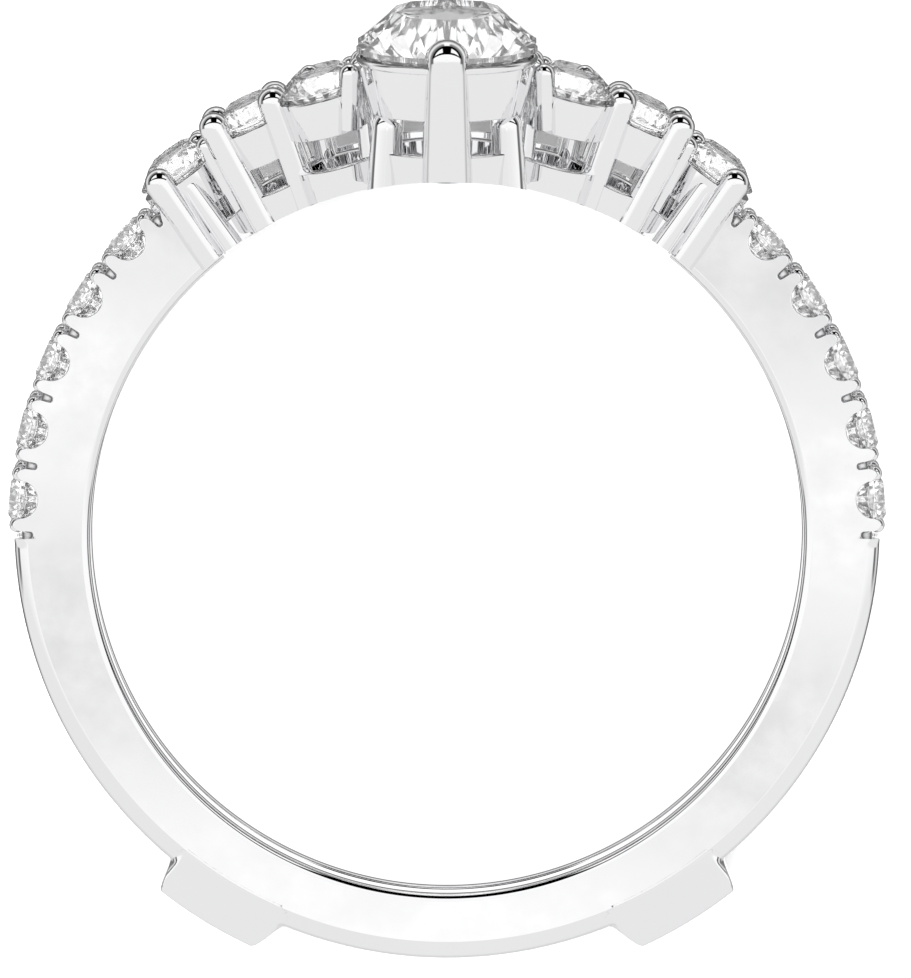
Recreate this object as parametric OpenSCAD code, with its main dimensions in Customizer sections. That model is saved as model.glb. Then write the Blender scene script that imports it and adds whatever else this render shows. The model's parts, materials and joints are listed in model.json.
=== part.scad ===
// Ring guard enhancer: two mirrored bands that hold an engagement ring between them.
// Lengths are in millimetres and angles in degrees.
// The ring is worked out in its own frame, with the finger axis along Z and the head
// towards +Y. The whole of it is then turned about X into the pose in which it lies.

/* [Finger hole and shank] */
// Radius of the finger hole
bore_r = 8.6; // [7.5:0.1:10.5]
// Width of each band along the finger axis
band_w = 2.1; // [1.9:0.1:2.4]
// Free gap between the two bands, where the engagement ring's shank lies
band_gap = 2.2; // [1.8:0.1:2.6]
// Thickness of the shank at its lowest point
shank_t = 1.58; // [1.4:0.02:1.9]
// How far the outer circle of the shank is raised towards the head
shank_rise = 0.25; // [0:0.05:0.4]
// Rounding of the outer edges at the lowest point
edge_round = 0.4; // [0.2:0.05:0.5]
// Rounding of the edges of the finger hole
bore_round = 0.2; // [0.05:0.05:0.3]

/* [Bridges] */
// Height of each bridge above the shank
bridge_h = 0.76; // [0.4:0.02:0.9]
// Angle from the lowest point to the near end of a bridge's top
bridge_from = 25.2; // [20:0.1:28]
// Angle from the lowest point to the far end of a bridge's top
bridge_to = 39.2; // [34:0.1:44]
// Angle that the sloping near end of a bridge takes up
bridge_near_slope = 2.3; // [1:0.1:4]
// Angle that the steeper far end of a bridge takes up
bridge_far_slope = 1.5; // [1:0.1:4]

/* [Head stones] */
// Diameter of each centre stone
centre_d = 4.35; // [3.8:0.05:4.6]
// Distance of each centre stone from the middle plane
centre_z = 5.6; // [5.2:0.1:6.2]
// Height of the centre stone's girdle above the finger axis
centre_girdle = 11.8; // [11.5:0.05:12.2]
// Outward lean of the centre stones
centre_cant = 7.5; // [0:0.5:12]
// Outward lean of the side stones
side_cant = 9; // [0:0.5:14]

/* [Shank stones] */
// Diameter of each shank stone
pave_d = 1.4; // [1.2:0.05:1.5]
// Number of shank stones on each side of a band
pave_n = 5; // [1:1:5]
// Angle from the head to the first shank stone
pave_first = 47.3; // [46:0.1:50]
// Angle between neighbouring shank stones
pave_step = 9.45; // [9:0.05:10]

/* [Fit of the stones] */
// Clear space between a stone and its metal seat
seat_gap = 0.03; // [0.02:0.01:0.06]

/* [Hidden] */
QUARTERS = [for (b = ["front", "back"]) for (s = ["left", "right"]) str(b, "_", s)];
$fn = 48;

// Faces of the front band along the finger axis
z_in = band_gap / 2;
z_out = z_in + band_w;
z_mid = (z_in + z_out) / 2;

// The outer circle of the shank, and the circle that its rounded edges follow
outer_r = bore_r + shank_t + shank_rise;
edge_rise = shank_rise + edge_round / 2;
edge_r = bore_r + shank_t + edge_rise;

// Where the bands stop and the stone baskets take over, from the head
band_end = 38.5;

// Underside of the head: a circle a little wider and lower than the finger hole
under_drop = 0.35;
under_r = bore_r + under_drop + 0.02;

// Brilliant cut, as shares of the stone's diameter
table_share = 0.57;
crown_share = 0.16;
girdle_share = 0.03;
pavilion_share = 0.43;
centre_crown_share = 0.185;
// Star facets: how far they reach over the crown, and how far their tips drop
star_share = 0.45;
star_drop = 0.46;
// Lower girdle facets: radius and depth of their lower ends, as shares of the pavilion
lower_radius = 0.28;
lower_depth = 0.71;

// Side stones of one quarter, from the centre outwards.
// Columns: angle from the head, distance from the middle plane, diameter, girdle height
side_rows = [
    [15.6, 4.4, 2.0, 11.28],
    [25.1, 3.4, 1.9, 11.2],
    [36.3, 2.5, 2.05, 11.02]
];
ANG = 0;
OFF = 1;
DIA = 2;
GIR = 3;

// Prongs of one quarter.
// Columns: foot angle, foot height, foot distance, tip angle, tip height, tip distance,
// foot radius, tip radius. A distance is measured from the middle plane to the prong's axis.
prong_rows = [
    [13.6, 10.15, 4.95, 11.8, 11.68, 5.2, 0.28, 0.26],
    [22.4, 8.7, 3.85, 21.8, 11.58, 4.25, 0.38, 0.32],
    [30.0, 8.7, 3.6, 29.6, 11.66, 3.95, 0.38, 0.32],
    [40.2, 8.9, 3.1, 39.1, 11.29, 3.4, 0.36, 0.32],
    [32.6, 8.9, 2.75, 31.6, 11.3, 3.15, 0.3, 0.27],
    [11.5, 8.9, 3.95, 10.5, 11.8, 4.1, 0.28, 0.25],
    [18.0, 8.9, 3.05, 16.9, 11.75, 3.4, 0.28, 0.25],
    [22.0, 8.9, 2.3, 21.6, 11.6, 2.65, 0.3, 0.27],
    [30.0, 8.9, 2.35, 29.5, 11.55, 2.65, 0.3, 0.27],
    [33.6, 8.9, 1.5, 32.4, 11.45, 1.75, 0.28, 0.25],
    [41.0, 8.9, 1.5, 38.6, 11.35, 1.65, 0.28, 0.25],
    [9.7, 8.9, 5.9, 8.2, 10.42, 6.0, 0.4, 0.38],
    [36.3, 8.9, 3.3, 36.2, 10.7, 3.25, 0.26, 0.25]
];

// The two prongs of a centre stone that stand in the plane of symmetry, same columns.
// The outer one is also what the ring leans on when it lies down.
outer_prong = [0, 8.5, 6.75, 0, 11.92, 7.6, 0.62, 0.43];
inner_prong = [0, 8.8, 3.85, 0, 12.5, 3.6, 0.42, 0.36];
HT = 4;
TD = 5;
TR = 7;

// Baskets: walls of the collar and the lower ring, and the ends of the lower ring
// above the finger axis before the head is cut to its underside
collar_wall = 0.3;
ring_wall = 0.35;
ring_from = 8.2;
ring_to = 9.45;
// Side baskets: clear radius past the stone, drop of the collar's rim under the girdle
// and height of the collar
side_collar = 0.02;
side_ring = 0.1;
side_drop = 0.16;
side_collar_h = 0.96;
// Centre baskets, in the same order, with whole radii
centre_collar_r = 2.0;
centre_ring_r = 1.63;
centre_drop = 0.4;
centre_collar_h = 1.13;

// How far the foot of a bridge is sunk into the shank
bridge_sink = 0.05;

// Room over the head stones that the prongs keep clear of, in crown heights
head_heights = 2.2;

// Shank settings: sinking of the girdle, notch under a stone, saw cut and beads
girdle_sink = 0.1;
notch_r = 0.47;
notch_sink = 0.08;
cut_half = 0.08;
cut_depth = 0.36;
bead_r = 0.19;
bead_angle = 1.3;
bead_side = 0.55;
bead_sink = 0.06;

// Short bars between the lower rings of neighbouring baskets.
// Columns: first angle, its distance from the middle plane, second angle, its distance
link_rows = [
    [8.5, 4.9, 12.5, 4.45],
    [18.5, 3.85, 22.5, 3.3],
    [28.5, 2.85, 33.0, 2.4]
];
link_height = 8.9;
link_r = 0.32;

// Resting pose: the outer prong of the back centre stone and the lowest edge of the
// back band touch the surface together
rest_height = outer_prong[TD] + outer_prong[TR] - z_out;
rest_length = outer_prong[HT] - outer_prong[TR] + outer_r - shank_rise - edge_round / 2;
rest_tilt = atan(rest_height / rest_length);

function outer_at(a) = outer_r + shank_rise * cos(a);
function pave_at(i) = pave_first + (i - 1) * pave_step;
function polar(a, r, z) = [r * sin(a), r * cos(a), z];
function under(a, r) = [r * sin(a), -r * cos(a)];

module rest_pose() {
    rotate([rest_tilt, 0, 0]) children();
}

// Puts a stone's own frame, table up, at an angle from the head on the front band
module seat(a, r, z, cant) {
    rotate([0, 0, -a]) translate([0, r, z]) rotate([cant - 90, 0, 0]) children();
}

// Puts children that stand along +Z from the origin on the line from p towards q
module along(p, q) {
    d = q - p;
    translate(p) rotate([0, acos(d.z / norm(d)), atan2(d.y, d.x)]) children();
}

// A tapered prong with a domed tip, from one row of the tables above
module prong(row) {
    foot_r = row[6];
    tip_r = row[TR];
    foot = polar(row[0], row[1], row[2]);
    tip = polar(row[3], row[HT] - tip_r, row[TD]);
    len = norm(tip - foot);
    along(foot, tip) rotate_extrude() {
        polygon([[0, 0], [foot_r, 0], [tip_r, len], [0, len]]);
        intersection() {
            translate([0, len]) circle(r = tip_r);
            translate([0, len - 0.01]) square([tip_r, 2 * tip_r]);
        }
    }
}

module tube(r, wall, from, to) {
    translate([0, 0, from]) difference() {
        cylinder(h = to - from, r = r);
        translate([0, 0, -1]) cylinder(h = to - from + 2, r = r - wall);
    }
}

// Round brilliant with its girdle at z = 0: table, 8 stars, 8 kites, 16 upper girdle
// facets, a faceted girdle, 16 lower girdle facets and 8 pavilion mains
module brilliant(d, crown) {
    rt = d * table_share / 2;
    rg = d / 2;
    hg = d * girdle_share / 2;
    hc = hg + d * crown;
    rs = rt + (rg - rt) * star_share;
    hs = hc - (hc - hg) * star_drop;
    rl = rg * lower_radius;
    hl = hg + d * pavilion_share * lower_depth;
    top = [for (k = [0:7]) [rt * cos(45 * k), rt * sin(45 * k), hc]];
    mid = [for (k = [0:7]) [rs * cos(45 * k + 22.5), rs * sin(45 * k + 22.5), hs]];
    up = [for (k = [0:15]) [rg * cos(22.5 * k), rg * sin(22.5 * k), hg]];
    low = [for (k = [0:15]) [rg * cos(22.5 * k), rg * sin(22.5 * k), -hg]];
    pav = [for (k = [0:7]) [rl * cos(45 * k + 22.5), rl * sin(45 * k + 22.5), -hl]];
    tip = [[0, 0, -hg - d * pavilion_share]];
    M = 8;
    U = 16;
    L = 32;
    P = 48;
    T = 56;
    faces = concat(
        [[for (k = [7:-1:0]) k]],
        [for (k = [0:7]) [k, (k + 1) % 8, M + k]],
        [for (k = [0:7]) [k, M + k, U + 2 * k]],
        [for (k = [0:7]) [k, U + 2 * k, M + (k + 7) % 8]],
        [for (k = [0:7]) [M + k, U + 2 * k + 1, U + 2 * k]],
        [for (k = [0:7]) [M + k, U + (2 * k + 2) % 16, U + 2 * k + 1]],
        [for (k = [0:15]) [U + k, U + (k + 1) % 16, L + (k + 1) % 16]],
        [for (k = [0:15]) [U + k, L + (k + 1) % 16, L + k]],
        [for (k = [0:7]) [L + 2 * k, L + 2 * k + 1, P + k]],
        [for (k = [0:7]) [L + 2 * k + 1, L + (2 * k + 2) % 16, P + k]],
        [for (k = [0:7]) [P + k, L + (2 * k + 2) % 16, T]],
        [for (k = [0:7]) [P + k, T, L + 2 * k]]
    );
    polyhedron(points = concat(top, mid, up, low, pav, tip), faces = faces);
}

// The round envelope of a brilliant, wider by the gap, which is cut from the metal.
// Above the girdle it follows the slope of the crown for a number of crown heights.
module stone_space(d, crown, heights) {
    g = seat_gap;
    rg = d / 2;
    hg = d * girdle_share / 2 + g / 2;
    run = heights * (rg - d * table_share / 2);
    top = hg + heights * d * crown;
    rotate_extrude() polygon([
        [0, -hg - d * pavilion_share - 1.5 * g],
        [rg + g, -hg],
        [rg + g, hg],
        [rg + g - run, top],
        [0, top]
    ]);
}

module left_right() {
    children();
    mirror([1, 0, 0]) children();
}

module front_back() {
    children();
    mirror([0, 0, 1]) children();
}

// Turns a shape about the finger axis so that its seam lies at the lowest point
module seam_low() {
    rotate([0, 0, -90]) children();
}

// Inner outline of a band: two rounded corners at the finger hole
module bore_outline() {
    b = bore_round;
    deep = 2 * shank_t;
    translate([bore_r + b, z_in]) square([deep, band_w]);
    translate([bore_r, z_in + b]) square([deep, band_w - 2 * b]);
    translate([bore_r + b, z_in + b]) circle(r = b);
    translate([bore_r + b, z_out - b]) circle(r = b);
}

// Outer outline of a band: a large rounding outside and a small one at the gap
module edge_outline() {
    e = edge_round;
    b = bore_round;
    square([edge_r - e, z_out]);
    translate([0, z_in + b]) square([edge_r, band_w - b - e]);
    translate([0, z_in]) square([edge_r - b, band_w - e]);
    translate([edge_r - e, z_out - e]) circle(r = e);
    translate([edge_r - b, z_in + b]) circle(r = b);
}

// Everything between the two straight cuts where the band meets the head
module head_wedge() {
    reach = 2 * outer_r;
    translate([0, 0, z_in - 1]) linear_extrude(height = band_w + 2) polygon([
        [0, 0],
        [-reach * sin(band_end), reach * cos(band_end)],
        [reach * sin(band_end), reach * cos(band_end)]
    ]);
}

module plain_band() {
    difference() {
        intersection() {
            seam_low() rotate_extrude($fn = 180) bore_outline();
            translate([0, shank_rise, z_in]) seam_low() cylinder(h = band_w, r = outer_r, $fn = 180);
            translate([0, edge_rise, 0]) seam_low() rotate_extrude($fn = 180) edge_outline();
        }
        head_wedge();
    }
}

// Round notch under each shank stone, cut through both walls of the band
module scallops() {
    for (i = [1:pave_n]) {
        a = pave_at(i);
        rotate([0, 0, -a]) translate([0, outer_at(a) - notch_sink, z_in - 0.5])
            cylinder(h = band_w + 1, r = notch_r);
    }
}

// Narrow saw cut that splits the metal between two stones into beads
module bead_cuts() {
    for (i = [0:pave_n]) {
        a = pave_at(i + 0.5);
        rotate([0, 0, -a]) translate([0, outer_at(a) - cut_depth, z_in - 0.5]) {
            cylinder(h = band_w + 1, r = cut_half, $fn = 16);
            translate([-cut_half, 0, 0]) cube([2 * cut_half, 1, band_w + 1]);
        }
    }
}

// Four small beads on the metal between two stones, and two past the last one
module beads() {
    for (i = [0:pave_n]) for (side = i == pave_n ? [-1] : [-1, 1]) for (end = [-1, 1]) {
        a = pave_at(i + 0.5);
        translate(polar(a + side * bead_angle, outer_at(a) - bead_sink, z_mid + end * bead_side))
            sphere(r = bead_r, $fn = 24);
    }
}

module pave_spaces() {
    for (i = [1:pave_n]) {
        a = pave_at(i);
        seat(a, outer_at(a) - girdle_sink, z_mid, 0) stone_space(pave_d, crown_share, 1);
    }
}

// Collar and lower ring of one basket, in the frame of its stone
module basket(girdle, collar_r, ring_r, drop, collar_h) {
    tube(collar_r, collar_wall, -drop - collar_h, -drop);
    tube(ring_r, ring_wall, ring_from - girdle, ring_to - girdle);
}

module side_baskets() {
    for (s = side_rows) {
        r = s[DIA] / 2;
        seat(s[ANG], s[GIR], s[OFF], side_cant)
            basket(s[GIR], r + side_collar, r + side_ring, side_drop, side_collar_h);
    }
}

// Short bars that join the lower rings of neighbouring baskets
module rail_links() {
    for (k = link_rows) {
        p = polar(k[0], link_height, k[1]);
        q = polar(k[2], link_height, k[3]);
        along(p, q) cylinder(h = norm(q - p), r = link_r);
    }
}

module side_prongs() {
    for (row = prong_rows)
        prong(row);
}

module centre_basket() {
    seat(0, centre_girdle, centre_z, centre_cant)
        basket(centre_girdle, centre_collar_r, centre_ring_r, centre_drop, centre_collar_h);
    prong(outer_prong);
    prong(inner_prong);
}

module half_solid() {
    plain_band();
    left_right() beads();
    left_right() side_baskets();
    left_right() rail_links();
    left_right() side_prongs();
    centre_basket();
}

module half_guard() {
    difference() {
        half_solid();
        translate([0, -under_drop, z_out]) seam_low() cylinder(h = bore_r, r = under_r, $fn = 180);
        seam_low() cylinder(h = z_out + 1, r = bore_r, $fn = 180);
        left_right() scallops();
        left_right() bead_cuts();
        left_right() pave_spaces();
        left_right() for (s = side_rows)
            seat(s[ANG], s[GIR], s[OFF], side_cant) stone_space(s[DIA], crown_share, head_heights);
        seat(0, centre_girdle, centre_z, centre_cant) stone_space(centre_d, centre_crown_share, head_heights);
    }
}

// Side view of a bridge: a raised bar with sloping ends, sunk into the shank by a depth
module bridge_outline(depth) {
    foot = outer_r - shank_rise;
    top = foot + bridge_h;
    over = (bridge_h + 1) / bridge_h;
    near = bridge_from - bridge_near_slope;
    far = bridge_to + bridge_far_slope;
    intersection() {
        circle(r = top, $fn = 180);
        polygon([
            under(near, foot - depth),
            under(near, foot),
            under(near + bridge_near_slope * over, top + 1),
            under(far - bridge_far_slope * over, top + 1),
            under(far, foot),
            under(far, foot - depth)
        ]);
    }
}

// Bar that joins the two bands under one side. Over the front half of each band it is sunk
// past the rounded edge, so its sides are flush with the outer faces.
module bridge() {
    translate([0, 0, -z_mid]) linear_extrude(height = 2 * z_mid) bridge_outline(bridge_sink);
    front_back() translate([0, 0, z_mid]) linear_extrude(height = z_out - z_mid)
        bridge_outline(edge_round + bridge_sink);
}

module mounting() {
    color([0.86, 0.86, 0.87]) rest_pose() {
        front_back() half_guard();
        left_right() bridge();
    }
}

module centre_stone(back) {
    color([0.93, 0.95, 0.98]) rest_pose() mirror([0, 0, back])
        seat(0, centre_girdle, centre_z, centre_cant) brilliant(centre_d, centre_crown_share);
}

module side_stone(back, right, i) {
    s = side_rows[i - 1];
    color([0.93, 0.95, 0.98]) rest_pose() mirror([0, 0, back]) mirror([1 - right, 0, 0])
        seat(s[ANG], s[GIR], s[OFF], side_cant) brilliant(s[DIA], crown_share);
}

module shank_stone(back, right, i) {
    a = pave_at(i);
    color([0.93, 0.95, 0.98]) rest_pose() mirror([0, 0, back]) mirror([1 - right, 0, 0])
        seat(a, outer_at(a) - girdle_sink, z_mid, 0) brilliant(pave_d, crown_share);
}

mounting();
centre_stone(0);  // centre_stone_front
centre_stone(1);  // centre_stone_back
for (back = [0, 1]) for (right = [0, 1]) {
    b = back == 1 ? "back" : "front";
    s = right == 1 ? "right" : "left";
    for (i = [1:3])
        side_stone(back, right, i);
    for (i = [1:5])
        shank_stone(back, right, i);
}
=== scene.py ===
"""Ring guard enhancer in polished white gold, lying on its side.

All shapes are worked out in the ring's own frame, in millimetres: the finger axis is Z, the
head is towards +Y, and the front band is at positive z. to_row() then tips the ring into the
pose in which it lies and turns millimetres into metres.
"""

import json
import math

import bmesh
import bpy
import numpy as np
from mathutils import Matrix, Vector


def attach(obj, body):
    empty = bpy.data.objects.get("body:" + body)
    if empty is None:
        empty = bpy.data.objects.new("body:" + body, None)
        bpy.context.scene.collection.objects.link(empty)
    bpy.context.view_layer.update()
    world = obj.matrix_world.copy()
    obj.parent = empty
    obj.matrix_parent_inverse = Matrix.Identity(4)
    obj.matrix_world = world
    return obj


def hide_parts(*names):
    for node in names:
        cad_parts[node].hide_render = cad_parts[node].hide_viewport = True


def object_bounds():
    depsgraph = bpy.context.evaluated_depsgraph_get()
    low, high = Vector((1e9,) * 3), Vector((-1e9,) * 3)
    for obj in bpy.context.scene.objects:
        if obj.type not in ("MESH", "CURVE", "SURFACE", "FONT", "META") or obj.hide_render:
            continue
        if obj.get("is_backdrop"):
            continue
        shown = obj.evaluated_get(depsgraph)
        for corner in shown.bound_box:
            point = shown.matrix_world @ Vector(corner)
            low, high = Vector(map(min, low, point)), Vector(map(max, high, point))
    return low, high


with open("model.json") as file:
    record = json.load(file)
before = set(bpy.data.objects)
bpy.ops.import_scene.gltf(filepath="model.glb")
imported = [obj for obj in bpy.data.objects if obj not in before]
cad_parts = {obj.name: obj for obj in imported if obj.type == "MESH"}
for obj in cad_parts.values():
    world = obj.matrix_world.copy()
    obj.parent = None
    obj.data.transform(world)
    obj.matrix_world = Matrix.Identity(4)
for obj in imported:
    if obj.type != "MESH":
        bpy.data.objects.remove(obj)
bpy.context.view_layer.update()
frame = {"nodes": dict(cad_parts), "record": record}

# Tilt of the resting ring, read from the axis of the finger hole
HOLE_AXIS = next(m["axis"] for m in frame["record"]["mounts"] if m["name"] == "finger_hole")
TILT = math.atan2(-HOLE_AXIS[1], HOLE_AXIS[2])
MM = 0.001

# Finger hole and shank
BORE_R = 8.6
BAND_W = 2.1
BAND_GAP = 2.2
SHANK_T = 1.58
SHANK_RISE = 0.25
EDGE_ROUND = 0.4
BORE_ROUND = 0.2
OUTER_R = BORE_R + SHANK_T + SHANK_RISE
Z_IN = BAND_GAP / 2
Z_OUT = Z_IN + BAND_W
Z_MID = (Z_IN + Z_OUT) / 2
# Degrees from the head: where a band ends under it, where the plain metal before the first
# shank stone ends, and how far past the last saw cut the plain shank begins
BAND_END = 38.5
PLAIN_TO = 41.0
PLAIN_FROM = 0.55
# Underside of the head: a circle round a point this far below the finger axis, which stays
# clear of the finger hole
UNDER_DROP = 0.35
UNDER_CLEAR = 0.02
UNDER_R = BORE_R + UNDER_DROP + UNDER_CLEAR

# Rounding of a band's outer edges beside the stones, and just past the last stone
EDGE_SHARP = 0.035
EDGE_MID = 0.32
# Where a rounding starts to grow (degrees from the head) and over how many degrees it does
GROW_FIRST = (89.9, 0.8)
GROW_SECOND = (95, 32)
GROW_GAP = (89, 20)

# Bridges: height of the top, ends (degrees from the lowest point), lengths of the two slopes
# and lean of the front face
BRIDGE_H = 0.76
BRIDGE_FROM = 22.5
BRIDGE_TO = 40.7
BRIDGE_NEAR = 3.2
BRIDGE_FAR = 1.9
BRIDGE_LEAN = 0.1
# Degrees over which each end flows into the band's edge, and rounding of the top's edges
# at the ends and what the top adds to it
FLOW_NEAR = 1.6
FLOW_FAR = 1.2
BRIDGE_EDGE = 0.02
BRIDGE_EDGE_TOP = 0.15
# A bridge's skin stands this far off the band, its underside is sunk this far into it, and
# its faces reach this far below the band's rounded edge
SKIN = 0.004
BRIDGE_SINK = 0.06
BRIDGE_FOOT = 0.05

# Shank stones
PAVE_D = 1.4
PAVE_N = 5
PAVE_FIRST = 47.3
PAVE_STEP = 9.45
GIRDLE_SINK = 0.1
# Conical seats: clear space round the girdle, drop of the rim under it and slope
SEAT_GAP = 0.03
SEAT_DROP = 0.05
SEAT_SLOPE = 0.86
NO_SEAT = 99.0
# Round notch under each stone: radius, depth of its centre and half its angle. Height of the
# crests on both sides of it
SCALLOP_R = 0.47
SCALLOP_SINK = 0.08
SCALLOP_HALF = 75
CREST_H = 0.03
# Saw cuts: half width, depth and softness of their sides. Ridge inside them: depth that it
# leaves free, its share of the rest, and share of the band's width over which it rises
CUT_HALF = 0.09
CUT_DEPTH = 0.36
CUT_SOFT = 0.02
RIDGE_UNDER = 0.1
RIDGE_SHARE = 0.75
RIDGE_RISE = 0.3
# Beads: radius, degrees from the middle of the cut, distance from the band's middle, sinking
BEAD_R = 0.19
BEAD_ANGLE = 1.3
BEAD_SIDE = 0.55
BEAD_SINK = 0.06

# Places of the loops across a flat face, and of the outer two across a band's top: the outer
# ones hold the edges flat
HOLD = np.array([0.006, 0.3, 0.7, 0.994])
HOLD_TOP = (0.004, 0.996)

# Head: angle from the head, height of the girdle, distance from the middle plane,
# diameter, outward lean
CENTRE = (0.0, 11.8, 5.6, 4.35, 7.5)
SIDES = (
    (15.6, 11.28, 4.4, 2.0, 9.0),
    (25.1, 11.2, 3.4, 1.9, 9.0),
    (36.3, 11.02, 2.5, 2.05, 9.0),
)
# Prongs: foot angle, foot height, foot distance, tip angle, tip height, tip distance,
# foot radius, tip radius
SIDE_PRONGS = (
    (13.6, 10.15, 4.95, 11.8, 11.68, 5.2, 0.28, 0.26),
    (22.4, 8.7, 3.85, 21.8, 11.66, 4.25, 0.38, 0.37),
    (30.0, 8.7, 3.6, 29.6, 11.72, 3.95, 0.38, 0.36),
    (40.2, 8.9, 3.1, 39.1, 11.34, 3.4, 0.36, 0.36),
    (32.6, 8.9, 2.75, 31.6, 11.3, 3.15, 0.30, 0.27),
    (11.5, 8.9, 3.95, 10.5, 11.8, 4.1, 0.28, 0.25),
    (18.0, 8.9, 3.05, 16.9, 11.75, 3.4, 0.28, 0.25),
    (22.0, 8.9, 2.3, 21.6, 11.6, 2.65, 0.30, 0.27),
    (30.0, 8.9, 2.35, 29.5, 11.55, 2.65, 0.30, 0.27),
    (33.6, 8.9, 1.5, 32.4, 11.45, 1.75, 0.28, 0.25),
    (41.0, 8.9, 1.5, 38.6, 11.35, 1.65, 0.28, 0.25),
    (9.7, 8.9, 5.9, 8.2, 10.42, 6.0, 0.40, 0.38),
    (36.3, 8.9, 3.3, 36.2, 10.7, 3.25, 0.26, 0.25),
)
CENTRE_PRONGS = (
    (0.0, 8.5, 6.75, 0.0, 12.06, 7.49, 0.62, 0.52),
    (0.0, 8.8, 3.85, 0.0, 12.5, 3.6, 0.42, 0.36),
)
# Prongs whose foot starts under this height are cut to the underside of the head
CUT_FOOT = 9.5
# Collars: radius at the top and at the foot, height of both from the girdle, wall. The radii
# of side collars and side rings are measured from the stone's edge
CENTRE_COLLAR = (2.12, 1.90, -0.30, -1.53, 0.3)
CENTRE_LIP = (2.20, 2.18, -0.16, -0.33, 0.12)
SIDE_COLLAR = (0.04, -0.02, -0.15, -1.12, 0.3)
# Lower rings: radius at the top and at the foot, height of the top over the finger axis.
# Before the cut they reach RING_SINK into the finger hole
CENTRE_RING = (1.74, 1.63, 9.42)
SIDE_RING = (0.12, 0.06, 9.45)
RING_WALL = 0.35
RING_SINK = 0.6
# Half the height of the rounded rims of collars and rings
RIM_ROUND = 0.045
# Bars between the lower rings: angle and distance from the middle plane of one end, then of
# the other. Height and radius of all, and how far their ends bulge as a share of the radius
LINKS = (
    (8.5, 4.9, 12.5, 4.45),
    (18.5, 3.85, 22.5, 3.3),
    (28.5, 2.85, 33.0, 2.4),
)
LINK_HEIGHT = 8.95
LINK_R = 0.32
LINK_DOME = 0.3

# Camera: distance from the ring and rise of its line of sight over the finger axis
CAMERA_MM = 750.0
CAMERA_UP = math.radians(1.8)

# Surroundings. Stripes: height on the ring (mm) and brightness that a flat face shows there
STRIPES = (
    (-11.0, 1.0),
    (-9.4, 1.0),
    (-8.2, 0.87),
    (-6.8, 0.76),
    (-5.1, 0.72),
    (-3.6, 0.74),
    (-2.2, 0.82),
    (-0.9, 0.94),
    (0.3, 1.0),
    (2.2, 1.0),
    (3.4, 0.87),
    (4.6, 0.76),
    (6.0, 0.73),
    (9.0, 0.73),
    (11.0, 0.9),
)
STRIPE_SLANT = 0.15
# Dark card beyond the head. It begins where a direction's rise towards the head passes a
# share of its height along the finger axis, and ends at the horizon
CARD_SLOPE = 0.68
CARD_SOFT = (-0.02, 0.03)
CARD_LOW = (0.02, 0.07)
# Two large windows in the card, apart from each other and inside its edges
WINDOW_SLOPE = 1.03
WINDOW_SOFT = (0.0, 0.04)
WINDOW_LOW = (0.26, 0.31)
WINDOW_APART = (0.31, 0.37)
# Dark wings at both sides of the ring: how far out, how far towards the head and at what
# height along the finger axis they begin, where they end, and how dark they are. The slopes
# slant their outer and lower edges
WING_SIDE = (0.60, 0.72)
WING_SIDE_SLOPE = 0.5
WING_HEAD = (-0.21, -0.13)
WING_HEAD_SLOPE = 0.08
WING_LOW = (-0.5, 0.0)
WING_TOP = (0.12, 0.3)
WING_DEPTH = 0.85
# Dim belt behind the ring: where it begins, where it ends near the finger axis, where it
# comes to full depth towards the head, its depth, and its share away from the head
BELT_BACK = (0.3, 0.75)
BELT_END = (0.96, 0.99)
BELT_HEAD = (-0.4, -0.15)
BELT_DEPTH = 0.85
BELT_LEAST = 0.2
# Brightness towards the head and away from it, and where the one turns into the other
WHITE_SIDE = 0.95
GREY_SIDE = 0.78
GREY_FROM = (-0.2, 0.0)
# The striped card lies round the finger axis
STRIPE_CARD = (0.985, 0.997)
WORLD_STRENGTH = 1.15
# Brightness and contrast of what is seen through the stones
STONE_SKY = 1.5
STONE_SHADE = 0.6


# Frames and mesh helpers


def to_row(p):
    """Turns ring-frame millimetres into row-frame metres: a turn about X by the resting tilt."""
    c, s = math.cos(TILT), math.sin(TILT)
    x, y, z = p[..., 0], p[..., 1], p[..., 2]
    return np.stack([x, y * c - z * s, y * s + z * c], axis=-1) * MM


def polar(angle, r, z):
    """Point at an angle from the head (degrees, towards +X), radius r and height z."""
    a = np.radians(angle)
    r, z, a = np.broadcast_arrays(r, z, a)
    return np.stack([r * np.sin(a), r * np.cos(a), z], axis=-1)


def outer_at(angle):
    """Outer radius of the shank: a circle raised by SHANK_RISE towards the head."""
    return OUTER_R + SHANK_RISE * np.cos(np.radians(angle))


def seat_to_ring(p, stone):
    """Takes points from a stone's own frame (table up +z, girdle at 0) to the ring frame."""
    angle, height, z, _, lean = stone
    t = math.radians(lean - 90)
    a = math.radians(angle)
    x = p[..., 0]
    y = p[..., 1] * math.cos(t) - p[..., 2] * math.sin(t) + height
    w = p[..., 1] * math.sin(t) + p[..., 2] * math.cos(t) + z
    turned_x = x * math.cos(a) + y * math.sin(a)
    turned_y = -x * math.sin(a) + y * math.cos(a)
    return np.stack([turned_x, turned_y, w], axis=-1)


def mirror(p, axis):
    """Mirror image of ring-frame points across the plane through the origin."""
    q = p.copy()
    q[..., axis] *= -1
    return q


def smooth(t):
    """Smooth step: 0 below 0, 1 above 1, 3t^2 - 2t^3 between."""
    t = np.clip(t, 0.0, 1.0)
    return t * t * (3 - 2 * t)


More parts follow.
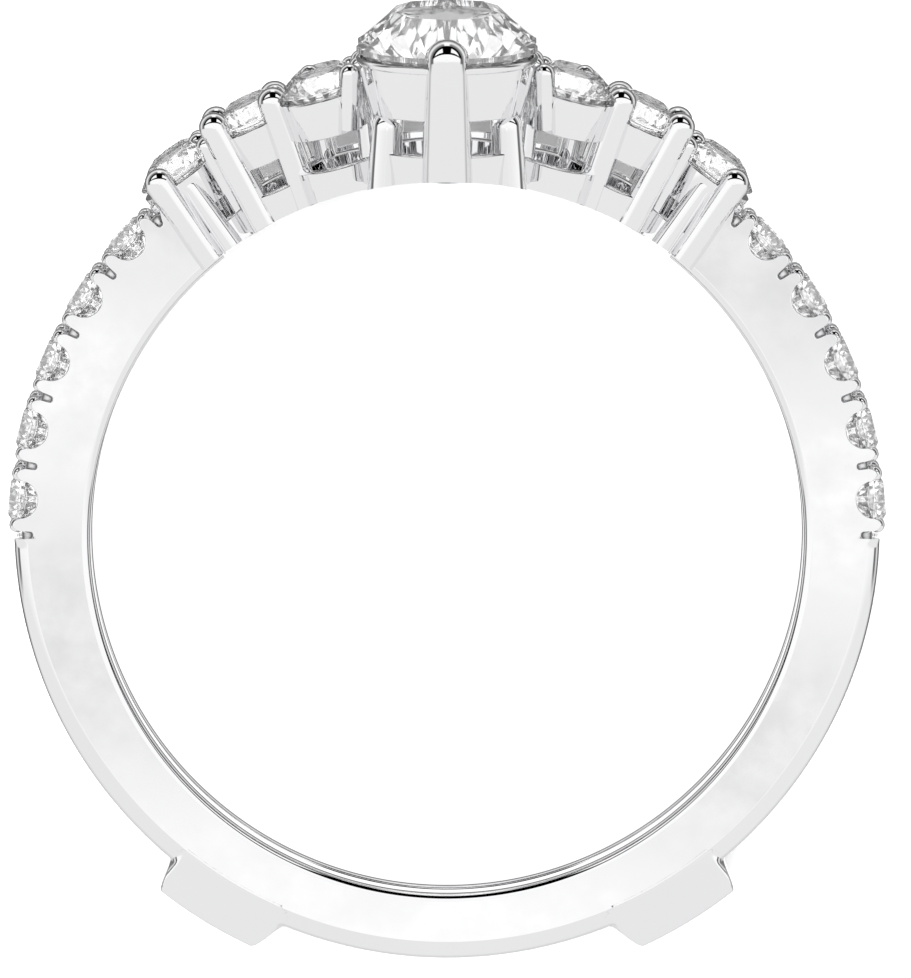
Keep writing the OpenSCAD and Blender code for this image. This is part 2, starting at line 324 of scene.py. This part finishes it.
def mesh_object(name, grids, sharp_deg):
    """One object from several grids of ring-frame points.

    Each grid is (points [nu, nv, 3], wrap_u, wrap_v): neighbours in u and v make quads, and
    a wrapped direction joins its last row to its first. Rows that close in a point are
    merged, so poles and seams are closed.
    """
    verts, faces, base = [], [], 0
    for points, wrap_u, wrap_v in grids:
        nu, nv = points.shape[:2]
        u = np.arange(nu if wrap_u else nu - 1)
        v = np.arange(nv if wrap_v else nv - 1)
        uu, vv = np.meshgrid(u, v, indexing="ij")
        un, vn = (uu + 1) % nu, (vv + 1) % nv
        quads = np.stack([uu * nv + vv, un * nv + vv, un * nv + vn, uu * nv + vn], axis=-1)
        faces.append(quads.reshape(-1, 4) + base)
        verts.append(to_row(points).reshape(-1, 3))
        base += nu * nv
    mesh = bpy.data.meshes.new(name)
    mesh.from_pydata(np.concatenate(verts).tolist(), [], np.concatenate(faces).tolist())
    bm = bmesh.new()
    bm.from_mesh(mesh)
    bmesh.ops.remove_doubles(bm, verts=bm.verts, dist=2e-7)
    bmesh.ops.dissolve_degenerate(bm, edges=bm.edges, dist=1e-8)
    bmesh.ops.recalc_face_normals(bm, faces=bm.faces)
    bm.to_mesh(mesh)
    bm.free()
    mesh.polygons.foreach_set("use_smooth", np.ones(len(mesh.polygons), bool))
    mesh.set_sharp_from_angle(angle=math.radians(sharp_deg))
    obj = bpy.data.objects.new(name, mesh)
    bpy.context.scene.collection.objects.link(obj)
    return obj


def both_sides(grid):
    """A grid and its mirror image across the plane x = 0."""
    points, wrap_u, wrap_v = grid
    return [grid, (mirror(points, 0), wrap_u, wrap_v)]


def on_band(grids, back):
    """The grids as they are for the front band, or mirrored across z = 0 for the back one."""
    if not back:
        return grids
    return [(mirror(points, 2), wrap_u, wrap_v) for points, wrap_u, wrap_v in grids]


# Shank


def grow(fold, start, length):
    """Smooth step of an angle: 0 up to start and 1 from start + length."""
    return smooth((fold - start) / length)


def shank_contour():
    """Outer contour of the right half, from the head to the lowest point.

    Returns angles and radii. Between two shank stones the metal is split by a narrow cut into
    two crests, each half of an ellipse, and under each stone it drops in an arc of a circle.
    """
    start = np.array([BAND_END, PLAIN_TO])
    angle, radius = [start], [outer_at(start)]

    def add(centre, arc, depth):
        top = outer_at(centre)
        angle.append(centre + np.degrees(arc / top))
        radius.append(top + depth)

    half_step = math.radians(PAVE_STEP / 2) * OUTER_R
    notch_u = np.radians(np.linspace(-SCALLOP_HALF, SCALLOP_HALF, 25))
    notch_arc = SCALLOP_R * np.sin(notch_u)
    notch_depth = -SCALLOP_SINK - SCALLOP_R * np.cos(notch_u)
    edge_arc, edge_depth = notch_arc[-1], notch_depth[-1]
    crest_half = (half_step - CUT_HALF - edge_arc) / 2
    crest_u = np.radians(np.linspace(180, 0, 15))[1:-1]
    crest_arc = edge_arc + crest_half + crest_half * np.cos(crest_u)
    crest_depth = edge_depth + (CREST_H - edge_depth) * np.sin(crest_u)
    cut_u = np.radians(np.linspace(180, 360, 9))
    cut_arc = CUT_HALF * np.cos(cut_u)
    cut_depth = -CUT_DEPTH + CUT_HALF * np.sin(cut_u)
    for i in range(PAVE_N + 1):
        cut_at = PAVE_FIRST + (i - 0.5) * PAVE_STEP
        add(cut_at, cut_arc, cut_depth)
        if i == PAVE_N:
            break
        stone_at = PAVE_FIRST + i * PAVE_STEP
        add(stone_at, -crest_arc[::-1], crest_depth[::-1])
        add(stone_at, notch_arc, notch_depth)
        add(stone_at, crest_arc, crest_depth)
    last = PAVE_FIRST + (PAVE_N - 0.5) * PAVE_STEP
    tail = np.linspace(last + PLAIN_FROM, 180, 130)
    angle.append(tail)
    radius.append(outer_at(tail))
    return np.concatenate(angle), np.concatenate(radius)


def seat_floor(angle, z):
    """Radius of the conical stone seats' surface, or NO_SEAT where there is none."""
    floor = np.full(np.broadcast(angle, z).shape, NO_SEAT)
    rim = PAVE_D / 2 + SEAT_GAP
    for i in range(PAVE_N):
        at = PAVE_FIRST + i * PAVE_STEP
        arc = np.radians(angle - at) * OUTER_R
        away = np.hypot(arc, z - Z_MID)
        girdle = outer_at(at) - GIRDLE_SINK
        cone = girdle - SEAT_DROP - SEAT_SLOPE * (rim - away)
        floor = np.where(away < rim, np.minimum(floor, cone), floor)
    return floor


def cut_share(fold):
    """1 inside the saw cuts between the shank stones and 0 elsewhere."""
    cuts = PAVE_FIRST + (np.arange(PAVE_N + 1) - 0.5) * PAVE_STEP
    away = np.abs(fold[:, None] - cuts[None, :]).min(axis=1)
    return 1.0 - smooth((np.radians(away) * OUTER_R - CUT_HALF) / CUT_SOFT)


def band_grid():
    """One band as a loop of cross-sections carried round the finger hole.

    Each cross-section is a rectangle with four rounded corners: two at the hole, one at the
    gap and one outside. The last two are sharp beside the stones and grow past them. The top
    follows the contour and drops into the stone seats.
    """
    half_angle, half_radius = shank_contour()
    angle = np.concatenate([half_angle, 360 - half_angle[-2::-1]])
    radius = np.concatenate([half_radius, half_radius[-2::-1]])
    fold = np.minimum(angle, 360 - angle)
    front = EDGE_SHARP + (EDGE_MID - EDGE_SHARP) * grow(fold, *GROW_FIRST)
    front = front + (EDGE_ROUND - EDGE_MID) * grow(fold, *GROW_SECOND)
    gap = EDGE_SHARP + (BORE_ROUND - EDGE_SHARP) * grow(fold, *GROW_GAP)
    a = angle[:, None]
    top = radius[:, None]
    front, gap = front[:, None], gap[:, None]
    q = np.radians(np.linspace(0, 90, 7))[None, :]
    b = BORE_ROUND
    one = np.ones_like(a)
    hole_front = (BORE_R + b - b * np.cos(q)) * one, (Z_OUT - b + b * np.sin(q)) * one
    face_t = HOLD[None, :]
    front_face = BORE_R + b + (top - front - BORE_R - b) * face_t, Z_OUT * np.ones_like(a * face_t)
    front_edge = top - front + front * np.sin(q), Z_OUT - front + front * np.cos(q)
    inside = np.linspace(0, 1, 42)[1:-1]
    across_t = np.concatenate([HOLD_TOP[:1], inside, HOLD_TOP[1:]])[None, :]
    across_z = Z_OUT - front + (Z_IN + gap - Z_OUT + front) * across_t
    cut = np.maximum(outer_at(fold)[:, None] - top - RIDGE_UNDER, 0) * cut_share(fold)[:, None]
    ridge = smooth(np.minimum(across_t, 1 - across_t) / RIDGE_RISE)
    ridged = top + RIDGE_SHARE * cut * ridge
    across_r = np.minimum(ridged, seat_floor(np.minimum(a, 360 - a), across_z))
    across = across_r, across_z
    gap_edge = top - gap + gap * np.cos(q), Z_IN + gap - gap * np.sin(q)
    gap_face = BORE_R + b + (top - gap - BORE_R - b) * (1 - face_t), Z_IN * np.ones_like(a * face_t)
    hole_gap = (BORE_R + b - b * np.sin(q)) * one, (Z_IN + b - b * np.cos(q)) * one
    hole = BORE_R * np.ones_like(a * face_t), (Z_IN + b + (BAND_W - 2 * b) * face_t) * one
    parts = [hole_front, front_face, front_edge, across, gap_edge, gap_face, hole_gap, hole]
    r = np.concatenate([p[0] for p in parts], axis=1)
    z = np.concatenate([p[1] for p in parts], axis=1)
    points = polar(a, r, z)
    caps = [points[:1] * 0 + points[i].mean(axis=0) for i in (0, -1)]
    return np.concatenate([caps[0], points, caps[1]]), False, True


def ball_grid(centre, r, rings=9, sides=14):
    """A sphere: latitude by longitude."""
    v = np.linspace(0, math.pi, rings)[:, None]
    u = np.linspace(0, 2 * math.pi, sides, endpoint=False)[None, :]
    x, y, z = np.sin(v) * np.cos(u), np.sin(v) * np.sin(u), np.cos(v) * np.ones_like(u)
    return centre + r * np.stack([x, y, z], axis=-1), False, True


def bead_grids():
    """Four beads on the metal between two shank stones, and two past the last stone."""
    grids = []
    for i in range(PAVE_N + 1):
        post = PAVE_FIRST + (i - 0.5) * PAVE_STEP
        sides = (-BEAD_ANGLE, BEAD_ANGLE) if i < PAVE_N else (-BEAD_ANGLE,)
        for side in sides:
            for end in (-BEAD_SIDE, BEAD_SIDE):
                centre = polar(post + side, outer_at(post) - BEAD_SINK, Z_MID + end)
                grids += both_sides(ball_grid(centre, BEAD_R))
    return grids


def bridge_grid():
    """A bridge: a rounded cross-section carried along the shank.

    The top leaves the shank and returns to it in a smooth step at each end. The front face
    leans back a little from the band's own face. Towards both ends it turns into the rounded
    edge of the band, so the two flow into each other.
    """
    u = np.linspace(0, 1, 121)[:, None]
    along = BRIDGE_FROM + (BRIDGE_TO - BRIDGE_FROM) * u
    past_near, before_far = along - BRIDGE_FROM, BRIDGE_TO - along
    rise = smooth(past_near / BRIDGE_NEAR) * smooth(before_far / BRIDGE_FAR)
    flow = smooth(past_near / FLOW_NEAR) * smooth(before_far / FLOW_FAR)
    shank = outer_at(180 - along)
    top = shank + SKIN + BRIDGE_H * rise
    edge = BRIDGE_EDGE + BRIDGE_EDGE_TOP * rise
    low = shank - EDGE_ROUND - BRIDGE_FOOT
    face_r = low + (top - edge - low) * np.linspace(0, 1, 16)[None, :]
    over = np.clip(face_r - shank + EDGE_ROUND, 0, EDGE_ROUND)
    rounded = EDGE_ROUND - np.sqrt(EDGE_ROUND ** 2 - over ** 2) + SKIN
    leaning = BRIDGE_LEAN * np.maximum(face_r - shank + EDGE_ROUND, 0)
    face_z = Z_OUT - flow * leaning - (1 - flow) * rounded
    q = np.radians(np.linspace(0, 90, 8))[None, 1:]
    edge_r = top - edge + edge * np.sin(q)
    edge_z = face_z[:, -1:] - edge + edge * np.cos(q)
    top_t = np.linspace(1, -1, 16)[None, 1:-1]
    across_r, across_z = top + 0 * top_t, edge_z[:, -1:] * top_t
    under = shank - BRIDGE_SINK
    inner_r = np.concatenate([low, under, under, low], axis=1)
    inner_z = np.array([[-Z_MID, -Z_MID, Z_MID, Z_MID]]) + 0 * low
    far_edge_r, far_face_r = edge_r[:, ::-1], face_r[:, ::-1]
    far_edge_z, far_face_z = -edge_z[:, ::-1], -face_z[:, ::-1]
    r = np.concatenate([face_r, edge_r, across_r, far_edge_r, far_face_r, inner_r], axis=1)
    z = np.concatenate([face_z, edge_z, across_z, far_edge_z, far_face_z, inner_z], axis=1)
    points = polar(180 - along, r, z)
    caps = [np.zeros_like(points[:1]) + points[i].mean(axis=0) for i in (0, -1)]
    return np.concatenate([caps[0], points, caps[1]]), False, True


# Head


def trim_under(foot, rest):
    """Moves the foot points of a shape along its own length onto the underside of the head.

    The underside is a circle of radius UNDER_R round a point UNDER_DROP below the finger
    axis. Solving |foot + k (rest - foot)| = UNDER_R in the ring's plane gives k for each point.
    """
    d = rest - foot
    fx, fy = foot[..., 0], foot[..., 1] + UNDER_DROP
    dx, dy = d[..., 0], d[..., 1]
    qa = dx * dx + dy * dy
    qb = fx * dx + fy * dy
    qc = fx * fx + fy * fy - UNDER_R ** 2
    k = (-qb + np.sqrt(np.maximum(qb * qb - qa * qc, 0))) / qa
    return foot + k[..., None] * d


def revolve(profile, stone, sides=72):
    """Closed profile of (radius, height) pairs turned round a stone's own axis."""
    r = np.array([p[0] for p in profile])[:, None]
    h = np.array([p[1] for p in profile])[:, None]
    u = np.linspace(0, 2 * math.pi, sides, endpoint=False)[None, :]
    p = np.stack([r * np.cos(u), r * np.sin(u), h * np.ones_like(u)], axis=-1)
    return seat_to_ring(p, stone)


def ring_profile(r_top, r_low, wall, top, low):
    """Section of a ring's wall: half an ellipse at the top and another at the foot."""
    q = np.radians(np.linspace(0, 180, 7))
    half, mid = wall / 2, RIM_ROUND
    rim = [(r_top - half + half * math.cos(a), top - mid + mid * math.sin(a)) for a in q]
    foot = [(r_low - half - half * math.cos(a), low + mid - mid * math.sin(a)) for a in q]
    return rim + foot


def collar_grid(stone, r_top, r_low, top, low, wall):
    """Upper ring of a basket."""
    return revolve(ring_profile(r_top, r_low, wall, top, low), stone), True, True


def lower_ring_grid(stone, r_top, r_low, top_height):
    """Lower ring of a basket: it starts inside the finger hole and is cut to the underside."""
    low = BORE_R - stone[1] - RING_SINK
    points = revolve(ring_profile(r_top, r_low, RING_WALL, top_height - stone[1], low), stone)
    rim, foot = points[:7], points[7:]
    foot = trim_under(foot, rim[::-1])
    return np.concatenate([rim, foot]), True, True


def prong_grid(row, sides=26):
    """A tapered round rod with a domed tip. A low foot is cut to the underside of the head."""
    a1, h1, z1, a2, h2, z2, r1, r2 = row
    foot, tip = polar(a1, h1, z1), polar(a2, h2 - r2, z2)
    axis = (tip - foot) / np.linalg.norm(tip - foot)
    side = np.cross(axis, (0.0, 0.0, 1.0))
    side /= np.linalg.norm(side)
    up = np.cross(side, axis)
    u = np.linspace(0, 2 * math.pi, sides, endpoint=False)[:, None]
    turn = np.cos(u) * side + np.sin(u) * up
    t = np.linspace(0, 1, 14)
    shaft = [foot + (tip - foot) * k + turn * (r1 + (r2 - r1) * k) for k in t]
    rise = np.radians(np.linspace(0, 90, 10))[1:]
    dome = [tip + axis * r2 * math.sin(q) + turn * r2 * math.cos(q) for q in rise]
    if h1 < CUT_FOOT:
        shaft[0] = trim_under(shaft[0], shaft[1])
    cap = np.zeros_like(shaft[0]) + shaft[0].mean(axis=0)
    return np.stack([cap, *shaft, *dome]), False, True


def link_grid(p, q, r):
    """A short round bar between two lower rings, with domed ends."""
    axis = (q - p) / np.linalg.norm(q - p)
    side = np.cross(axis, (0.0, 1.0, 0.0))
    side /= np.linalg.norm(side)
    up = np.cross(side, axis)
    u = np.linspace(0, 2 * math.pi, 20, endpoint=False)[:, None]
    turn = np.cos(u) * side + np.sin(u) * up
    ends = np.radians(np.linspace(-90, 90, 13))
    rows = [
        (p if e < 0 else q) + axis * r * math.sin(e) * LINK_DOME + turn * r * math.cos(e)
        for e in ends
    ]
    return np.stack(rows), False, True


def head_grids():
    """Collars, lower rings, links and prongs of one band's head."""
    grids = [
        collar_grid(CENTRE, *CENTRE_COLLAR),
        collar_grid(CENTRE, *CENTRE_LIP),
        lower_ring_grid(CENTRE, *CENTRE_RING),
    ]
    grids += [prong_grid(row) for row in CENTRE_PRONGS]
    for stone in SIDES:
        r = stone[3] / 2
        top_out, low_out, *heights_and_wall = SIDE_COLLAR
        grids += both_sides(collar_grid(stone, r + top_out, r + low_out, *heights_and_wall))
        top_out, low_out, top_height = SIDE_RING
        grids += both_sides(lower_ring_grid(stone, r + top_out, r + low_out, top_height))
    for row in SIDE_PRONGS:
        grids += both_sides(prong_grid(row))
    for a1, z1, a2, z2 in LINKS:
        p, q = polar(a1, LINK_HEIGHT, z1), polar(a2, LINK_HEIGHT, z2)
        grids += both_sides(link_grid(p, q, LINK_R))
    return grids


# Materials


def node(tree, kind, **settings):
    """Adds a shader node and sets its inputs by name."""
    n = tree.nodes.new(kind)
    for key, value in settings.items():
        n.inputs[key].default_value = value
    return n


def white_gold():
    """Polished white gold: near-mirror, with a faint polishing haze and faint shifts of tint."""
    mat = bpy.data.materials.new("white_gold_polished")
    mat.use_nodes = True
    tree = mat.node_tree
    shader = tree.nodes["Principled BSDF"]
    shader.inputs["Metallic"].default_value = 1.0
    coord = tree.nodes.new("ShaderNodeTexCoord")
    haze = node(tree, "ShaderNodeTexNoise", Scale=900.0, Detail=4.0, Roughness=0.6)
    rough = tree.nodes.new("ShaderNodeMapRange")
    rough.inputs["From Min"].default_value = 0.3
    rough.inputs["From Max"].default_value = 0.7
    rough.inputs["To Min"].default_value = 0.02
    rough.inputs["To Max"].default_value = 0.06
    tint_noise = node(tree, "ShaderNodeTexNoise", Scale=160.0, Detail=2.0)
    tint = tree.nodes.new("ShaderNodeMix")
    tint.data_type = "RGBA"
    tint.inputs["A"].default_value = (0.865, 0.865, 0.875, 1)
    tint.inputs["B"].default_value = (0.92, 0.92, 0.925, 1)
    link = tree.links.new
    for n in (haze, tint_noise):
        link(coord.outputs["Object"], n.inputs["Vector"])
    link(haze.outputs["Fac"], rough.inputs["Value"])
    link(rough.outputs["Result"], shader.inputs["Roughness"])
    link(tint_noise.outputs["Fac"], tint.inputs["Factor"])
    link(tint.outputs["Result"], shader.inputs["Base Color"])
    return mat


def diamond():
    """Clear cut stone: high index, no colour, with a trace of surface variation."""
    mat = bpy.data.materials.new("brilliant_stone")
    mat.use_nodes = True
    tree = mat.node_tree
    shader = tree.nodes["Principled BSDF"]
    shader.inputs["Base Color"].default_value = (1, 1, 1, 1)
    shader.inputs["IOR"].default_value = 1.85
    shader.inputs["Transmission Weight"].default_value = 0.9
    coord = tree.nodes.new("ShaderNodeTexCoord")
    film = node(tree, "ShaderNodeTexNoise", Scale=700.0, Detail=2.0)
    rough = tree.nodes.new("ShaderNodeMapRange")
    rough.inputs["To Min"].default_value = 0.0
    rough.inputs["To Max"].default_value = 0.012
    tree.links.new(coord.outputs["Object"], film.inputs["Vector"])
    tree.links.new(film.outputs["Fac"], rough.inputs["Value"])
    tree.links.new(rough.outputs["Result"], shader.inputs["Roughness"])
    return mat


def floor_paint():
    """Matt white table top."""
    mat = bpy.data.materials.new("floor_white")
    mat.use_nodes = True
    shader = mat.node_tree.nodes["Principled BSDF"]
    shader.inputs["Base Color"].default_value = (0.93, 0.93, 0.93, 1)
    shader.inputs["Roughness"].default_value = 0.7
    return mat


# Assembly

GOLD = white_gold()
STONE = diamond()

metal = []
for back, end in ((False, "front"), (True, "back")):
    metal.append(mesh_object("band_" + end, on_band([band_grid()], back), sharp_deg=32))
    metal.append(mesh_object("shank_beads_" + end, on_band(bead_grids(), back), sharp_deg=60))
    metal.append(mesh_object("head_basket_" + end, on_band(head_grids(), back), sharp_deg=40))
metal.append(mesh_object("bridges", both_sides(bridge_grid()), sharp_deg=35))
for piece in metal:
    piece.data.materials.append(GOLD)
    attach(piece, "root")
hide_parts("mounting")

for name, obj in frame["nodes"].items():
    if name != "mounting":
        obj.data.materials.clear()
        obj.data.materials.append(STONE)


# Studio


def maths(tree, operation, *values):
    """A maths node on numbers or sockets; gives its output socket."""
    n = tree.nodes.new("ShaderNodeMath")
    n.operation = operation
    for socket, value in zip(n.inputs, values):
        if isinstance(value, (int, float)):
            socket.default_value = value
        else:
            tree.links.new(value, socket)
    return n.outputs[0]


def step_up(tree, value, low, high):
    """Smooth rise of a socket's value from 0 at low to 1 at high."""
    n = tree.nodes.new("ShaderNodeMapRange")
    n.interpolation_type = "SMOOTHSTEP"
    n.inputs["From Min"].default_value = low
    n.inputs["From Max"].default_value = high
    tree.links.new(value, n.inputs["Value"])
    return n.outputs["Result"]


def studio_world():
    """Surroundings of the ring as a function of direction, in the ring's own frame.

    White cards stand all round. A dark card with two large windows stands beyond the head,
    dark wings stand at both sides, a dim belt lies behind the ring, the side away from the
    head is light grey, and a card with soft grey stripes hangs round the finger axis in
    front, which the flat faces of the bands reflect.
    """
    world = bpy.data.worlds.new("studio")
    bpy.context.scene.world = world
    world.use_nodes = True
    tree = world.node_tree
    link = tree.links.new
    coord = tree.nodes.new("ShaderNodeTexCoord")
    turn = tree.nodes.new("ShaderNodeVectorRotate")
    turn.rotation_type = "X_AXIS"
    turn.inputs["Angle"].default_value = -TILT
    split = tree.nodes.new("ShaderNodeSeparateXYZ")
    link(coord.outputs["Generated"], turn.inputs["Vector"])
    link(turn.outputs["Vector"], split.inputs["Vector"])
    x, y, z = split.outputs["X"], split.outputs["Y"], split.outputs["Z"]

    # Soft stripes that the flat faces see, as heights on the ring in millimetres
    across = maths(tree, "MULTIPLY", x, CAMERA_MM * STRIPE_SLANT)
    height = maths(tree, "MULTIPLY_ADD", y, CAMERA_MM, CAMERA_MM * math.sin(CAMERA_UP))
    height = maths(tree, "ADD", height, across)
    low, high = STRIPES[0][0], STRIPES[-1][0]
    ramp = tree.nodes.new("ShaderNodeValToRGB")
    ramp.color_ramp.interpolation = "EASE"
    stops = ramp.color_ramp.elements
    while len(stops) < len(STRIPES):
        stops.new(0.5)
    for stop, (at, value) in zip(stops, STRIPES):
        stop.position = (at - low) / (high - low)
        stop.color = (value, value, value, 1)
    along = maths(tree, "DIVIDE", maths(tree, "SUBTRACT", height, low), high - low)
    link(along, ramp.inputs["Fac"])

    # Dark card beyond the head, wings at both sides, dim belt behind the ring
    side = maths(tree, "ABSOLUTE", x)
    card = step_up(tree, maths(tree, "MULTIPLY_ADD", z, -CARD_SLOPE, y), *CARD_SOFT)
    card = maths(tree, "MULTIPLY", card, step_up(tree, z, *CARD_LOW))
    wing = step_up(tree, maths(tree, "MULTIPLY_ADD", y, WING_SIDE_SLOPE, side), *WING_SIDE)
    headward = step_up(tree, maths(tree, "MULTIPLY_ADD", z, -WING_HEAD_SLOPE, y), *WING_HEAD)
    wing = maths(tree, "MULTIPLY", wing, headward)
    wing = maths(tree, "MULTIPLY", wing, step_up(tree, z, *WING_LOW))
    depth = maths(tree, "MULTIPLY_ADD", step_up(tree, z, *WING_TOP), -WING_DEPTH, WING_DEPTH)
    wing = maths(tree, "MULTIPLY", wing, depth)
    low_z = maths(tree, "MULTIPLY", z, -1.0)
    before_end = maths(tree, "SUBTRACT", 1.0, step_up(tree, low_z, *BELT_END))
    belt = maths(tree, "MULTIPLY", step_up(tree, low_z, *BELT_BACK), before_end)
    belt = maths(tree, "MULTIPLY", belt, BELT_DEPTH)
    headward = step_up(tree, y, *BELT_HEAD)
    share = maths(tree, "MULTIPLY_ADD", headward, 1.0 - BELT_LEAST, BELT_LEAST)
    belt = maths(tree, "MULTIPLY", belt, share)
    dark = maths(tree, "MAXIMUM", card, maths(tree, "MAXIMUM", wing, belt))

    away = maths(tree, "SUBTRACT", 1.0, step_up(tree, y, *GREY_FROM))
    grey = maths(tree, "MULTIPLY_ADD", away, GREY_SIDE - WHITE_SIDE, WHITE_SIDE)
    near_axis = step_up(tree, z, *STRIPE_CARD)
    level = tree.nodes.new("ShaderNodeMix")
    link(near_axis, level.inputs["Factor"])
    link(grey, level.inputs["A"])
    link(ramp.outputs["Color"], level.inputs["B"])
    level = maths(tree, "MULTIPLY", level.outputs["Result"], maths(tree, "SUBTRACT", 1.0, dark))
    window = step_up(tree, maths(tree, "MULTIPLY_ADD", z, -WINDOW_SLOPE, y), *WINDOW_SOFT)
    window = maths(tree, "MULTIPLY", window, step_up(tree, z, *WINDOW_LOW))
    window = maths(tree, "MULTIPLY", window, step_up(tree, side, *WINDOW_APART))
    level = maths(tree, "MAXIMUM", level, maths(tree, "MULTIPLY", window, WHITE_SIDE))
    # Rays that leave a cut stone see a lighter sky, so that the stones stay bright
    path = tree.nodes.new("ShaderNodeLightPath")
    soft = maths(tree, "MULTIPLY_ADD", level, STONE_SHADE, STONE_SKY - STONE_SHADE)
    seen = tree.nodes.new("ShaderNodeMix")
    link(path.outputs["Is Transmission Ray"], seen.inputs["Factor"])
    link(level, seen.inputs["A"])
    link(soft, seen.inputs["B"])
    back = tree.nodes["Background"]
    link(seen.outputs["Result"], back.inputs["Color"])
    back.inputs["Strength"].default_value = WORLD_STRENGTH


def area_light(name, place, target, size, power):
    """A square soft light that faces a point and shows in no reflection."""
    data = bpy.data.lights.new(name, "AREA")
    data.shape = "SQUARE"
    data.size = size
    data.energy = power
    lamp = bpy.data.objects.new(name, data)
    bpy.context.scene.collection.objects.link(lamp)
    lamp.location = place
    lamp.rotation_euler = (Vector(target) - Vector(place)).to_track_quat("-Z", "Y").to_euler()
    lamp.visible_glossy = False
    lamp.visible_transmission = False


def floor():
    """A wide white table top under the lowest point of the ring."""
    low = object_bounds()[0].z
    half = 0.6
    mesh = bpy.data.meshes.new("floor")
    corners = [(-half, -half, low), (half, -half, low), (half, half, low), (-half, half, low)]
    mesh.from_pydata(corners, [], [(0, 1, 2, 3)])
    obj = bpy.data.objects.new("floor", mesh)
    bpy.context.scene.collection.objects.link(obj)
    mesh.materials.append(floor_paint())
    obj.visible_glossy = False
    obj.visible_transmission = False
    obj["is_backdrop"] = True


def camera():
    """Long lens, a little above the finger axis towards the head, framed as in the photograph."""
    width, height = 911, 978
    distance = CAMERA_MM
    pixels_per_mm = 41.5
    hole_px = (447.0, 536.5)
    e = CAMERA_UP
    back = np.array([0.0, math.sin(e), math.cos(e)])
    up = np.array([0.0, math.cos(e), -math.sin(e)])
    right = np.array([1.0, 0.0, 0.0])
    rim = np.array([0.0, 0.0, Z_OUT])
    aim = rim + right * (width / 2 - hole_px[0]) / pixels_per_mm
    aim = aim + up * (hole_px[1] - height / 2) / pixels_per_mm
    place = aim + back * distance
    data = bpy.data.cameras.new("camera")
    data.sensor_width = 36.0
    data.lens = pixels_per_mm * distance * data.sensor_width / height
    data.clip_start = 0.01
    data.clip_end = 10.0
    cam = bpy.data.objects.new("camera", data)
    bpy.context.scene.collection.objects.link(cam)
    rows = to_row(np.stack([right, up, back])) / MM
    turn = Matrix([list(rows[0]), list(rows[1]), list(rows[2])]).transposed()
    cam.matrix_world = Matrix.Translation(Vector(to_row(place))) @ turn.to_4x4()
    bpy.context.scene.camera = cam


floor()
studio_world()
area_light("key", place=(-0.03, -0.08, 0.5), target=(0, 0, 0), size=0.3, power=5.0)
camera()
bpy.context.scene.view_settings.view_transform = "Standard"
